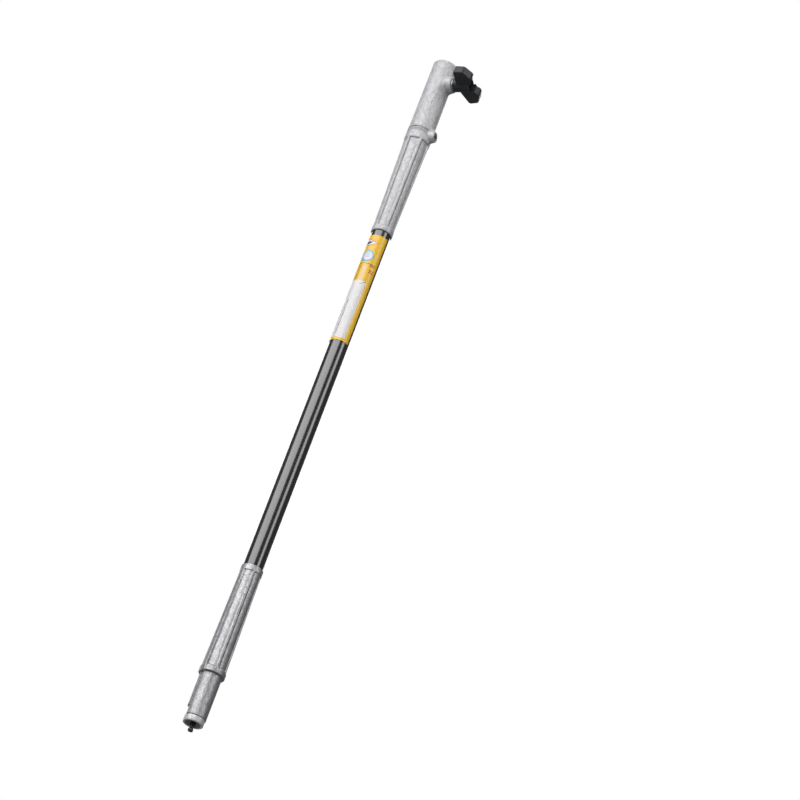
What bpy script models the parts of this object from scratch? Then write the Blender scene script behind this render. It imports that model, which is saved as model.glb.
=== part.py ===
"""Rigid extension pole for a shaft-driven pole pruner, modelled as an assembly of separate pieces.

The pole stands along +Z.  The origin is the centre of the shoulder that the lower spigot runs up to:
the spigot points down (-Z), the clamp socket opens upwards (+Z) and its wing knob is on +X.
Every length below is in millimetres and every angle in degrees; the helpers convert to metres.
"""

from math import cos, pi, radians, sin

import bmesh
import bpy
from mathutils import Matrix, Vector

MM = 0.001
GAP = 0.3                     # clearance kept between pieces that touch
FINE = 40                     # steps round a large turned piece
COARSE = 20                   # steps round a small turned piece
PAST = 5.0                    # how far a cutter runs past the face that it opens

# Outer tube and the label round it
TUBE_R = 13.5
TUBE_BORE_R = 12.2
TUBE_Z = (96.0, 884.0)
LABEL_Z = (515.2, 691.2)
LABEL_THICKNESS = 0.25
LABEL_START, LABEL_SWEEP, LABEL_COLUMNS = -203.0, 199.0, 40

# Working length, from the lower shoulder to the mouth of the socket
WORK_LENGTH = 1000.0

# Ribs shared by both castings
RIB_COUNT = 6
RIB_FIRST = 17.0
RIB_WIDTH_TOP, RIB_WIDTH_BASE = 2.6, 3.8
CASTING_BORE_R = TUBE_R + GAP

# Lower casting: spigot, collar, ribbed sleeve
SPIGOT_R = 14.4
SPIGOT_END_Z = -61.4
LOWER_COLLAR_R, LOWER_COLLAR_TOP = 17.5, 8.0
LOWER_SLEEVE_TOP, LOWER_RIM_START = 160.0, 151.0
LOWER_RIM_R = 14.85
LOWER_PANEL_R = (15.9, 14.25)      # at the collar, at the rim
LOWER_RIB_R = (17.1, 14.65)
LOWER_POCKET_Z = TUBE_Z[0] - GAP
LOWER_HOLLOW_R, LOWER_HOLLOW_Z = 11.0, 16.0   # round the shaft, below the tube
FLAT_ANGLE, FLAT_R = -142.0, 12.3   # flat along the spigot, and the pad that stands on it
PAD_WIDTH, PAD_TOP_R, PAD_START = 9.0, 14.6, -47.5

# Ring that closes the spigot's end
END_RING_Z = -70.0
END_RING_R, END_RING_BORE = 13.5, 10.9
END_RING_NECK_R, END_RING_NECK_LENGTH = 11.0, 4.0

# Upper casting: ribbed sleeve, collar, clamp socket
UPPER_SLEEVE_START, UPPER_RIM_END = 700.6, 710.5
UPPER_RIM_R, UPPER_RIM_CHAMFER = 15.45, 1.1
UPPER_PANEL_R = (14.75, 17.1)      # at the rim, at the collar
UPPER_RIB_R = (15.3, 18.5)
UPPER_COLLAR_Z, UPPER_COLLAR_R = (861.0, 881.0), 18.7
SOCKET_R = (18.2, 17.9)            # above the collar, at the mouth
SOCKET_BORE_R, SOCKET_FLOOR_Z = 14.7, 927.0
UPPER_POCKET_Z = TUBE_Z[1] + GAP

# Drive shaft, coupling sleeve and ball bearings (7 x 19 x 6)
SHAFT_R = 3.5
SHAFT_Z = (-80.0, 916.0)
TIP_NECK_R, TIP_NECK_Z, TIP_NECK_FLANK = 2.4, (-76.4, -73.4), 0.8
TIP_DIMPLE_R, TIP_DIMPLE_DEPTH = 1.3, 1.2
SPLINE_COUNT, SPLINE_LENGTH, SPLINE_CUT_R = 8, 25.0, 0.55
SPLINE_CENTRE_R = 3.65             # where the middle of each groove's cutter stands
TOOTH_ROOT = 0.9                   # share of the radius left between the sleeve's teeth
PASSAGE_R = 8.6
BEARING_R, BEARING_BORE_R, BEARING_WIDTH = 9.3, SHAFT_R + GAP, 6.0
BEARING_SEAT_R = BEARING_R + GAP
BALL_CIRCLE_R, BALL_R, BALL_COUNT = 6.5, 1.8, 7
INNER_RACE_R, OUTER_RACE_BORE_R = 5.2, 7.8
LOWER_BEARING_Z = -49.0            # lower face of each bearing
UPPER_BEARING_Z = 893.0
SLEEVE_R, SLEEVE_Z = 6.5, (899.4, 945.0)
SLEEVE_NECK_R, SLEEVE_NECK_TOP = 5.0, 902.0
PIN_R, PIN_Z = 1.25, 909.5
BUSH_R, BUSH_LENGTH = TUBE_BORE_R - GAP, 24.0
BUSH_Z = (190.0, 350.0, 510.0, 670.0)
BUSH_WAIST_R, BUSH_FLANGE, BUSH_TAPER = 7.0, 4.0, 1.5
CLIP_THICKNESS, CLIP_GROOVE = 0.8, 1.4
CLIP_SEAT_R = BEARING_SEAT_R + 0.6  # bottom of a housing's groove
SEAL_SPACE, SEAL_THICKNESS, SEAL_LIP_R = 2.9, 2.4, 4.6   # below the lower bearing

# Clamp on the socket, along +X
CLAMP_Z = 967.0
CLAMP_BOSS_BASE_R, CLAMP_BOSS_R, CLAMP_BOSS_FACE = 16.0, 11.4, 24.3
INSERT_R, INSERT_X = 6.0, (19.6, 24.0)
SCREW_R = 3.85
CLAMP_PAD_R, CLAMP_PAD_X = 5.9, (13.9, 16.7)
WASHER_R, WASHER_X = 9.4, (24.6, 26.2)
KNOB_BASE_X = 25.9
KNOB_HUB_R, KNOB_FOOT, KNOB_HUB_TOP = 10.2, 0.6, 25.0   # the hub runs from the foot to the top
KNOB_TURN = 87.0                   # how far the wings are turned from the pole's axis
KNOB_THICKNESS_HUB, KNOB_THICKNESS_TIP = 14.0, 11.5
KNOB_HEAD_H, KNOB_HEAD_R, KNOB_HEAD_HEIGHT = 14.0, 7.5, 5.3
KNOB_RECESS_R, KNOB_RECESS_H = 8.2, 20.0
# Half outline of the wings: distance along the wing, height above the hub's base
KNOB_WING = [(0.0, 8.0), (10.0, 8.0), (31.0, 11.5), (33.0, 14.0), (31.8, 25.5),
             (29.5, 28.0), (18.5, 33.5), (14.0, 33.5), (9.5, 29.5), (0.0, 29.5)]

# Screws that hold the castings on the tube: height, angle round the pole, boss radius, boss face
UPPER_FIXING = {"z": 875.0, "angle": 7.0, "boss_base_r": 10.6, "boss_r": 7.4, "face": 24.6,
                "head_r": 5.2, "head_height": 5.8, "shank_r": 2.7, "socket_r": 2.9}
WEB_Z, WEB_FACE, WEB_BASE_R, WEB_TOP_R = 881.0, 21.6, 10.0, 4.5   # blends that boss into the socket
LOWER_FIXING = {"z": 112.0, "angle": 107.0, "boss_base_r": 7.0, "boss_r": 6.0, "face": 19.4,
                "head_r": 4.2, "head_height": 3.0, "shank_r": 2.2, "socket_r": 2.3}

MATERIALS = {
    "cast_aluminium": ((0.42, 0.42, 0.43), 0.55, 0.85),
    "machined_ring": ((0.68, 0.68, 0.69), 0.42, 0.60),
    "black_tube": ((0.012, 0.012, 0.014), 0.28, 0.10),
    "yellow_label": ((0.78, 0.50, 0.03), 0.40, 0.0),
    "drive_steel": ((0.10, 0.10, 0.11), 0.38, 0.90),
    "bearing_steel": ((0.50, 0.50, 0.52), 0.25, 1.0),
    "black_plastic": ((0.020, 0.020, 0.023), 0.50, 0.0),
    "brass": ((0.60, 0.43, 0.16), 0.35, 1.0),
    "zinc_steel": ((0.55, 0.56, 0.57), 0.32, 0.95),
    "white_plastic": ((0.75, 0.74, 0.70), 0.50, 0.0),
    "seal_rubber": ((0.03, 0.03, 0.03), 0.70, 0.0),
}


# ---------------------------------------------------------------- helpers

def clear_scene():
    for item in list(bpy.data.objects):
        bpy.data.objects.remove(item, do_unlink=True)


def new_collection(name):
    collection = bpy.data.collections.new(name)
    bpy.context.scene.collection.children.link(collection)
    return collection


def new_material(name):
    colour, roughness, metallic = MATERIALS[name]
    material = bpy.data.materials.new(name)
    material.use_nodes = True
    shader = material.node_tree.nodes["Principled BSDF"]
    shader.inputs["Base Color"].default_value = (*colour, 1.0)
    shader.inputs["Roughness"].default_value = roughness
    shader.inputs["Metallic"].default_value = metallic
    material.diffuse_color = (*colour, 1.0)
    return material


def shade(mesh):
    """Smooth shading with the edges over 35 degrees left sharp."""
    mesh.shade_smooth()
    mesh.set_sharp_from_angle(angle=radians(35.0))


def add_object(name, bm, material=None):
    """Turn a bmesh (in metres) into an object: a part if it has a material, else a cutter."""
    mesh = bpy.data.meshes.new(name)
    bm.to_mesh(mesh)
    bm.free()
    shade(mesh)
    obj = bpy.data.objects.new(name, mesh)
    if material:
        PARTS.objects.link(obj)
        mesh.materials.append(SLOTS[material])
    else:
        CUTTERS.objects.link(obj)
        obj.hide_render = True
        obj.display_type = 'WIRE'
    return obj


def turned(name, profile, material=None, steps=FINE):
    """A turned piece: (radius, height) points from the top down the outer side.

    A profile that starts and ends on the axis stays open; any other is closed into a ring.
    """
    bm = bmesh.new()
    points = [bm.verts.new((r * MM, 0.0, z * MM)) for r, z in profile]
    for first, second in zip(points, points[1:]):
        bm.edges.new((first, second))
    if profile[0][0] > 0.0:
        bm.edges.new((points[-1], points[0]))
    obj = add_object(name, bm, material)
    screw = obj.modifiers.new("Turn", 'SCREW')
    screw.steps = steps
    screw.render_steps = steps
    screw.use_merge_vertices = True
    screw.merge_threshold = 0.00001
    screw.use_smooth_shade = True
    return obj


def ring_profile(outer, inner, low, high, chamfer=0.0):
    """Rectangular ring section, with its outer edges broken by the chamfer."""
    if chamfer == 0.0:
        return [(outer, high), (outer, low), (inner, low), (inner, high)]
    return [(outer - chamfer, high), (outer, high - chamfer), (outer, low + chamfer),
            (outer - chamfer, low), (inner, low), (inner, high)]


def disc_profile(radius, low, high, chamfer=0.0):
    """Solid disc section from the axis out."""
    if chamfer == 0.0:
        return [(0.0, high), (radius, high), (radius, low), (0.0, low)]
    return [(0.0, high), (radius - chamfer, high), (radius, high - chamfer),
            (radius, low + chamfer), (radius - chamfer, low), (0.0, low)]


def prism(name, radius, low, high, sides, material=None, top_radius=None, matrix=None):
    """A straight or tapered prism along its own Z, from low to high."""
    bm = bmesh.new()
    middle = Matrix.Translation((0.0, 0.0, (low + high) / 2 * MM))
    bmesh.ops.create_cone(bm, cap_ends=True, segments=sides, radius1=radius * MM,
                          radius2=(top_radius or radius) * MM, depth=(high - low) * MM,
                          matrix=(matrix or Matrix()) @ middle)
    return add_object(name, bm, material)


def box(name, low, high, matrix=None, material=None):
    """A block between two corners, then moved by the matrix."""
    size = Vector(high) - Vector(low)
    centre = (Vector(high) + Vector(low)) / 2 * MM
    bm = bmesh.new()
    bmesh.ops.create_cube(bm, size=1.0)
    scale = Matrix.Diagonal((*(size * MM), 1.0))
    move = (matrix or Matrix()) @ Matrix.Translation(centre) @ scale
    bmesh.ops.transform(bm, matrix=move, verts=bm.verts)
    return add_object(name, bm, material)


def around(angle):
    """Rotation about the pole's axis."""
    return Matrix.Rotation(radians(angle), 4, 'Z')


def radial(z, angle=0.0, roll=0.0):
    """Frame whose own Z points straight out of the pole at a height and an angle."""
    lift = Matrix.Translation((0.0, 0.0, z * MM))
    return lift @ around(angle) @ Matrix.Rotation(pi / 2, 4, 'Y') @ around(roll)


def combine(target, tool, operation):
    """Add a Boolean of the tool to the target."""
    step = target.modifiers.new(operation.title(), 'BOOLEAN')
    step.object = tool
    step.operation = operation
    step.solver = 'EXACT'


def cut(target, *tools):
    for tool in tools:
        combine(target, tool, 'DIFFERENCE')


def join(target, *tools):
    for tool in tools:
        combine(target, tool, 'UNION')


def repeated(name, count, first, make_bmesh):
    """One cutter or filler object holding copies of a form spaced evenly round the pole."""
    bm = bmesh.new()
    for index in range(count):
        form = make_bmesh()
        form.transform(around(first + index * 360.0 / count))
        mesh = bpy.data.meshes.new("copy")
        form.to_mesh(mesh)
        form.free()
        bm.from_mesh(mesh)
        bpy.data.meshes.remove(mesh)
    return add_object(name, bm)


# ---------------------------------------------------------------- castings

def rib_form(low, high, radii):
    """A radial bar with drafted flanks, its outer edge running from one radius to the other."""
    root = TUBE_R + 0.6
    bm = bmesh.new()
    bmesh.ops.create_cube(bm, size=1.0)
    for vert in bm.verts:
        at_top = vert.co.z > 0
        outside = vert.co.x > 0
        width = RIB_WIDTH_TOP if outside else RIB_WIDTH_BASE
        side = 1.0 if vert.co.y > 0 else -1.0
        radius = (radii[1] if at_top else radii[0]) if outside else root
        height = high if at_top else low
        vert.co = Vector((radius, side * width / 2, height)) * MM
    return bm


def add_ribs(casting, name, low, high, radii):
    ribs = repeated(name, RIB_COUNT, RIB_FIRST, lambda: rib_form(low, high, radii))
    join(casting, ribs)


def add_fixing_boss(casting, name, fixing):
    """Tapered boss and the stepped hole for a screw that holds the casting on the tube."""
    frame = radial(fixing["z"], fixing["angle"])
    seat = fixing["face"] - fixing["head_height"] - 2 * GAP
    boss = prism(name + "_boss", fixing["boss_base_r"], TUBE_R, fixing["face"], FINE // 2,
                 top_radius=fixing["boss_r"], matrix=frame)
    hole = prism(name + "_hole", fixing["shank_r"] + GAP, 5.0, seat + 1.0, COARSE, matrix=frame)
    counterbore = prism(name + "_counterbore", fixing["head_r"] + GAP, seat,
                        fixing["face"] + PAST, COARSE, matrix=frame)
    join(casting, boss)
    return hole, counterbore


def spigot_flat_tools():
    """The flat along one side of the spigot, and the pad that stands on it up to the collar."""
    turn = around(FLAT_ANGLE)
    flat = box("spigot_flat", (FLAT_R, -SPIGOT_R, SPIGOT_END_Z - PAST), (SPIGOT_R + PAST, SPIGOT_R, 0.0),
               matrix=turn)
    pad = box("spigot_pad", (FLAT_R - 1.0, -PAD_WIDTH / 2, PAD_START),
              (PAD_TOP_R, PAD_WIDTH / 2, 0.5), matrix=turn)
    return flat, pad


def make_lower_casting():
    panel_low, panel_high = LOWER_PANEL_R
    outside = [(0.0, LOWER_SLEEVE_TOP), (LOWER_RIM_R - 0.3, LOWER_SLEEVE_TOP),
               (LOWER_RIM_R, LOWER_SLEEVE_TOP - 0.3), (LOWER_RIM_R, LOWER_RIM_START + 0.6),
               (panel_high, LOWER_RIM_START), (panel_low, LOWER_COLLAR_TOP + 1.0),
               (LOWER_COLLAR_R - 0.4, LOWER_COLLAR_TOP), (LOWER_COLLAR_R, LOWER_COLLAR_TOP - 0.8),
               (LOWER_COLLAR_R, 0.8), (LOWER_COLLAR_R - 0.5, 0.0), (SPIGOT_R, 0.0),
               (SPIGOT_R, SPIGOT_END_Z), (0.0, SPIGOT_END_Z)]
    casting = turned("lower_casting", outside, "cast_aluminium")
    add_ribs(casting, "lower_ribs", 5.0, LOWER_RIM_START + 2.0, LOWER_RIB_R)
    flat, pad = spigot_flat_tools()
    cut(casting, flat)
    join(casting, pad)
    screw_holes = add_fixing_boss(casting, "lower_fixing", LOWER_FIXING)

    neck_r = END_RING_NECK_R + GAP
    neck_top = SPIGOT_END_Z + END_RING_NECK_LENGTH
    groove_top = LOWER_BEARING_Z - SEAL_SPACE
    seat_top = LOWER_BEARING_Z + BEARING_WIDTH + GAP
    bore = [(0.0, LOWER_SLEEVE_TOP + PAST), (CASTING_BORE_R, LOWER_SLEEVE_TOP + PAST),
            (CASTING_BORE_R, LOWER_POCKET_Z), (LOWER_HOLLOW_R, LOWER_POCKET_Z),
            (LOWER_HOLLOW_R, LOWER_HOLLOW_Z), (PASSAGE_R, LOWER_HOLLOW_Z),
            (PASSAGE_R, seat_top), (BEARING_SEAT_R, seat_top),
            (BEARING_SEAT_R, groove_top), (CLIP_SEAT_R, groove_top),
            (CLIP_SEAT_R, groove_top - CLIP_GROOVE),
            (BEARING_SEAT_R, groove_top - CLIP_GROOVE), (BEARING_SEAT_R, neck_top),
            (neck_r, neck_top), (neck_r, SPIGOT_END_Z - PAST), (0.0, SPIGOT_END_Z - PAST)]
    cut(casting, turned("lower_bore", bore), *screw_holes)


def make_upper_casting():
    panel_low, panel_high = UPPER_PANEL_R
    collar_low, collar_high = UPPER_COLLAR_Z
    outside = [(0.0, WORK_LENGTH), (SOCKET_R[1] - 1.0, WORK_LENGTH),
               (SOCKET_R[1] - 0.25, WORK_LENGTH - 0.4), (SOCKET_R[1], WORK_LENGTH - 1.2),
               (SOCKET_R[0], collar_high + 1.5), (UPPER_COLLAR_R - 0.2, collar_high),
               (UPPER_COLLAR_R, collar_high - 2.0), (UPPER_COLLAR_R, collar_low + 1.5),
               (UPPER_COLLAR_R - 0.4, collar_low + 0.3), (panel_high, collar_low - 1.0),
               (panel_low, UPPER_RIM_END), (UPPER_RIM_R, UPPER_RIM_END - 0.6),
               (UPPER_RIM_R, UPPER_SLEEVE_START + UPPER_RIM_CHAMFER),
               (UPPER_RIM_R - UPPER_RIM_CHAMFER, UPPER_SLEEVE_START), (0.0, UPPER_SLEEVE_START)]
    casting = turned("upper_casting", outside, "cast_aluminium")
    add_ribs(casting, "upper_ribs", UPPER_RIM_END - 2.0, collar_low + 3.0, UPPER_RIB_R)
    clamp = radial(CLAMP_Z)
    join(casting, prism("clamp_boss", CLAMP_BOSS_BASE_R, 4.0, CLAMP_BOSS_FACE, FINE,
                        top_radius=CLAMP_BOSS_R, matrix=clamp))
    screw_holes = add_fixing_boss(casting, "upper_fixing", UPPER_FIXING)
    join(casting, prism("upper_fixing_web", WEB_BASE_R, TUBE_R, WEB_FACE, COARSE,
                        top_radius=WEB_TOP_R, matrix=radial(WEB_Z, UPPER_FIXING["angle"])))

    seat_low = UPPER_BEARING_Z - GAP
    groove_low = UPPER_BEARING_Z + BEARING_WIDTH + GAP
    mouth = WORK_LENGTH + PAST
    bore = [(0.0, mouth), (SOCKET_BORE_R + 0.7, mouth), (SOCKET_BORE_R + 0.7, WORK_LENGTH),
            (SOCKET_BORE_R, WORK_LENGTH - 0.7), (SOCKET_BORE_R, SOCKET_FLOOR_Z),
            (BEARING_SEAT_R, SOCKET_FLOOR_Z), (BEARING_SEAT_R, groove_low + CLIP_GROOVE),
            (CLIP_SEAT_R, groove_low + CLIP_GROOVE), (CLIP_SEAT_R, groove_low),
            (BEARING_SEAT_R, groove_low), (BEARING_SEAT_R, seat_low), (PASSAGE_R, seat_low),
            (PASSAGE_R, UPPER_POCKET_Z), (CASTING_BORE_R, UPPER_POCKET_Z),
            (CASTING_BORE_R, UPPER_SLEEVE_START - PAST), (0.0, UPPER_SLEEVE_START - PAST)]
    insert_hole = prism("insert_hole", INSERT_R + GAP, 5.0, CLAMP_BOSS_FACE + PAST, 32, matrix=clamp)
    cut(casting, turned("upper_bore", bore), insert_hole, *screw_holes)


def make_end_ring():
    """Smooth ring whose neck sits in the spigot's end; the drive end shows in its opening."""
    face = END_RING_Z
    seat = SPIGOT_END_Z - GAP
    neck_top = seat + END_RING_NECK_LENGTH
    turned("spigot_end_ring", [
        (END_RING_NECK_R, neck_top), (END_RING_NECK_R, seat), (END_RING_R, seat),
        (END_RING_R, face + 0.9), (END_RING_R - 0.25, face + 0.3), (END_RING_R - 0.9, face),
        (END_RING_BORE + 0.3, face), (END_RING_BORE, face + 0.4), (BEARING_SEAT_R, neck_top)],
        "machined_ring")


# ---------------------------------------------------------------- tube and label

def make_tube():
    tube = turned("outer_tube", ring_profile(TUBE_R, TUBE_BORE_R, *TUBE_Z), "black_tube")
    for name, fixing in (("upper", UPPER_FIXING), ("lower", LOWER_FIXING)):
        cut(tube, prism(name + "_tube_hole", fixing["shank_r"] + GAP, TUBE_BORE_R - 4.0,
                        TUBE_R + 3.0, COARSE, matrix=radial(fixing["z"], fixing["angle"])))


def make_label():
    """Thin printed sheet wrapped most of the way round the tube."""
    low, high = LABEL_Z
    radius = TUBE_R + GAP
    bm = bmesh.new()
    bmesh.ops.create_grid(bm, x_segments=LABEL_COLUMNS, y_segments=1, size=0.5)
    for vert in bm.verts:
        angle = radians(LABEL_START + (vert.co.x + 0.5) * LABEL_SWEEP)
        height = low + (vert.co.y + 0.5) * (high - low)
        vert.co = Vector((radius * cos(angle), radius * sin(angle), height)) * MM
    label = add_object("tube_label", bm, "yellow_label")
    skin = label.modifiers.new("Thickness", 'SOLIDIFY')
    skin.thickness = LABEL_THICKNESS * MM
    skin.offset = 1.0


# ---------------------------------------------------------------- drive train

def make_drive_shaft():
    low, high = SHAFT_Z
    groove_r = SHAFT_R - 0.5
    profile = [(0.0, high), (SHAFT_R - 0.4, high), (SHAFT_R, high - 0.4)]
    for centre in (clip_height("upper"), clip_height("lower")):
        profile += [(SHAFT_R, centre + CLIP_GROOVE / 2), (groove_r, centre + CLIP_GROOVE / 2),
                    (groove_r, centre - CLIP_GROOVE / 2), (SHAFT_R, centre - CLIP_GROOVE / 2)]
    neck_low, neck_high = TIP_NECK_Z
    profile += [(SHAFT_R, neck_high), (TIP_NECK_R, neck_high - TIP_NECK_FLANK),
                (TIP_NECK_R, neck_low + TIP_NECK_FLANK), (SHAFT_R, neck_low),
                (SHAFT_R, low + 0.8), (SHAFT_R - 0.8, low), (TIP_DIMPLE_R, low),
                (0.0, low + TIP_DIMPLE_DEPTH)]
    shaft = turned("drive_shaft", profile, "drive_steel", COARSE + 4)

    def groove():
        bm = bmesh.new()
        length = SPLINE_LENGTH + PAST
        middle = Matrix.Translation((SPLINE_CENTRE_R * MM, 0.0, (low - PAST + length / 2) * MM))
        bmesh.ops.create_cone(bm, cap_ends=True, segments=6, radius1=SPLINE_CUT_R * MM,
                              radius2=SPLINE_CUT_R * MM, depth=length * MM, matrix=middle)
        return bm
    cut(shaft, repeated("spline_grooves", SPLINE_COUNT, 0.0, groove))
    cut(shaft, prism("shaft_pin_hole", PIN_R + GAP, -8.0, 8.0, 12, matrix=radial(PIN_Z)))


def make_coupling_sleeve():
    """Sleeve pinned to the shaft, whose upper end takes the next tool's splined shaft."""
    low, high = SLEEVE_Z
    sleeve = turned("coupling_sleeve", [
        (0.0, high), (SLEEVE_R - 0.8, high), (SLEEVE_R, high - 0.8), (SLEEVE_R, SLEEVE_NECK_TOP),
        (SLEEVE_NECK_R, SLEEVE_NECK_TOP - 0.5), (SLEEVE_NECK_R, low), (0.0, low)],
        "drive_steel", COARSE + 4)
    shaft_end = SHAFT_Z[1] + GAP
    cut(sleeve, prism("sleeve_bore", SHAFT_R + GAP, low - PAST, shaft_end, COARSE + 4))
    toothed = prism("sleeve_spline", SHAFT_R + GAP, shaft_end - 1.0, high + PAST, 2 * SPLINE_COUNT)
    for vert in toothed.data.vertices:
        if vert.index // 2 % 2:
            vert.co.xy *= TOOTH_ROOT
    cut(sleeve, toothed)
    cut(sleeve, prism("sleeve_pin_hole", PIN_R + GAP, -9.0, 9.0, 12, matrix=radial(PIN_Z)))
    prism("coupling_pin", PIN_R, -SLEEVE_R + 0.4, SLEEVE_R - 0.4, 12, "bearing_steel",
          matrix=radial(PIN_Z))


def groove_points(start, end, middle_z):
    """Points of a ball groove's arc round the ball circle, from one angle to another."""
    steps = 4
    radius = BALL_R + GAP
    angles = [radians(start + (end - start) * index / steps) for index in range(steps + 1)]
    return [(BALL_CIRCLE_R + radius * cos(angle), middle_z + radius * sin(angle))
            for angle in angles]


def make_bearing(prefix, low):
    """Ball bearing: outer race, inner race, and the balls in their cage."""
    high = low + BEARING_WIDTH
    middle = (low + high) / 2
    turned(prefix + "_bearing_outer_race",
           [(BEARING_R - 0.3, high), (BEARING_R, high - 0.3), (BEARING_R, low + 0.3),
            (BEARING_R - 0.3, low), (OUTER_RACE_BORE_R, low)]
           + groove_points(-51.0, 51.0, middle) + [(OUTER_RACE_BORE_R, high)],
           "bearing_steel", COARSE)
    turned(prefix + "_bearing_inner_race",
           [(INNER_RACE_R, high)] + groove_points(129.0, 231.0, middle)
           + [(INNER_RACE_R, low), (BEARING_BORE_R, low), (BEARING_BORE_R, high)],
           "bearing_steel", COARSE)
    cage = turned(prefix + "_bearing_ball_cage",
                  ring_profile(BALL_CIRCLE_R + 0.35, BALL_CIRCLE_R - 0.35, middle - 1.1, middle + 1.1),
                  "bearing_steel", COARSE + 1)

    def ball():
        bm = bmesh.new()
        centre = Matrix.Translation((BALL_CIRCLE_R * MM, 0.0, middle * MM))
        bmesh.ops.create_icosphere(bm, subdivisions=2, radius=BALL_R * MM, matrix=centre)
        return bm
    join(cage, repeated(prefix + "_balls", BALL_COUNT, 3.0, ball))


def clip_height(which):
    """Middle of the shaft's retaining-ring groove beside each bearing's inner race."""
    if which == "upper":
        return UPPER_BEARING_Z - CLIP_GROOVE / 2 - GAP
    return LOWER_BEARING_Z + BEARING_WIDTH + CLIP_GROOVE / 2 + GAP


def make_clip(name, outer, inner, middle, opening):
    """Open retaining ring."""
    clip = turned(name, ring_profile(outer, inner, middle - CLIP_THICKNESS / 2,
                                     middle + CLIP_THICKNESS / 2), "drive_steel", COARSE)
    cut(clip, box(name + "_gap", (0.0, -opening / 2, middle - 3.0),
                  (outer + 3.0, opening / 2, middle + 3.0), matrix=around(93.0)))


def make_clips_and_seal():
    housing_outer, housing_inner = BEARING_SEAT_R + 0.3, BEARING_SEAT_R - 1.3
    shaft_outer, shaft_inner = SHAFT_R + 1.3, SHAFT_R - 0.2
    lower_groove = LOWER_BEARING_Z - SEAL_SPACE - CLIP_GROOVE / 2
    upper_groove = UPPER_BEARING_Z + BEARING_WIDTH + GAP + CLIP_GROOVE / 2
    make_clip("lower_housing_ring", housing_outer, housing_inner, lower_groove, 5.0)
    make_clip("upper_housing_ring", housing_outer, housing_inner, upper_groove, 5.0)
    make_clip("lower_shaft_ring", shaft_outer, shaft_inner, clip_height("lower"), 5.2)
    make_clip("upper_shaft_ring", shaft_outer, shaft_inner, clip_height("upper"), 5.2)
    high = LOWER_BEARING_Z - GAP
    low = high - SEAL_THICKNESS
    turned("lower_shaft_seal", [
        (BEARING_R, high), (BEARING_R, low), (SEAL_LIP_R + 0.4, low), (BEARING_BORE_R, high - 1.2),
        (BEARING_BORE_R, high - 0.4), (SEAL_LIP_R, high)], "seal_rubber", COARSE)


def make_bushes():
    """Plastic bobbins that keep the long shaft from whipping inside the tube."""
    taper_start = BUSH_FLANGE + BUSH_TAPER
    for number, middle in enumerate(BUSH_Z, start=1):
        low, high = middle - BUSH_LENGTH / 2, middle + BUSH_LENGTH / 2
        turned(f"shaft_bush_{number}", [
            (BUSH_R, high), (BUSH_R, high - BUSH_FLANGE), (BUSH_WAIST_R, high - taper_start),
            (BUSH_WAIST_R, low + taper_start), (BUSH_R, low + BUSH_FLANGE), (BUSH_R, low),
            (SHAFT_R + GAP, low), (SHAFT_R + GAP, high)], "white_plastic", COARSE)


# ---------------------------------------------------------------- clamp and screws

def place(obj, frame):
    obj.matrix_world = frame


def make_clamp():
    clamp = radial(CLAMP_Z, roll=KNOB_TURN)
    low, high = INSERT_X
    place(turned("threaded_insert", ring_profile(INSERT_R, SCREW_R + GAP, low, high, 0.3),
                 "brass", COARSE), clamp)
    place(turned("clamp_pad", disc_profile(CLAMP_PAD_R, *CLAMP_PAD_X, 0.3), "bearing_steel", COARSE),
          clamp)
    low, high = WASHER_X
    place(turned("knob_washer", ring_profile(WASHER_R, SCREW_R + GAP, low, high), "zinc_steel", 28),
          clamp)
    head_low = KNOB_BASE_X + KNOB_HEAD_H
    screw = turned("knob_screw", disc_profile(SCREW_R, CLAMP_PAD_X[1] + GAP, head_low + 1.0, 0.5),
                   "zinc_steel", COARSE)
    place(screw, clamp)
    head = prism("knob_screw_head", KNOB_HEAD_R, head_low, head_low + KNOB_HEAD_HEIGHT, 6)
    place(head, clamp)
    join(screw, head)


def wing_bar():
    """Two-winged bar: its outline stands on the hub and is thinner towards the tips."""
    outline = KNOB_WING + [(-rho, h) for rho, h in reversed(KNOB_WING) if rho > 0.0]
    tip = max(rho for rho, h in KNOB_WING)
    bm = bmesh.new()
    bottom = [bm.verts.new((rho * MM, 0.0, (KNOB_BASE_X + h) * MM)) for rho, h in outline]
    face = bm.faces.new(bottom)
    moved = bmesh.ops.extrude_face_region(bm, geom=[face])["geom"]
    upper = [item for item in moved if isinstance(item, bmesh.types.BMVert)]
    for vert in bm.verts:
        share = abs(vert.co.x) / (tip * MM)
        width = KNOB_THICKNESS_HUB + (KNOB_THICKNESS_TIP - KNOB_THICKNESS_HUB) * share
        vert.co.y = (width if vert in upper else -width) / 2 * MM
    bmesh.ops.recalc_face_normals(bm, faces=bm.faces)
    return bm


def make_knob():
    clamp = radial(CLAMP_Z, roll=KNOB_TURN)
    base = KNOB_BASE_X
    knob = turned("wing_knob", disc_profile(KNOB_HUB_R, base + KNOB_FOOT, base + KNOB_HUB_TOP, 0.6),
                  "black_plastic", 32)
    place(knob, clamp)
    bar = add_object("knob_wings", wing_bar())
    pocket_low = base + KNOB_HEAD_H - GAP
    tools = [
        prism("knob_bore", SCREW_R + GAP, base - PAST, pocket_low + 1.0, COARSE),
        prism("knob_pocket", KNOB_HEAD_R + 0.4, pocket_low, base + KNOB_RECESS_H + 1.0, 6),
        prism("knob_recess", KNOB_RECESS_R, base + KNOB_RECESS_H, base + 45.0, COARSE),
    ]
    for tool in [bar] + tools:
        place(tool, clamp)
    join(knob, bar)
    cut(knob, *tools)


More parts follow.
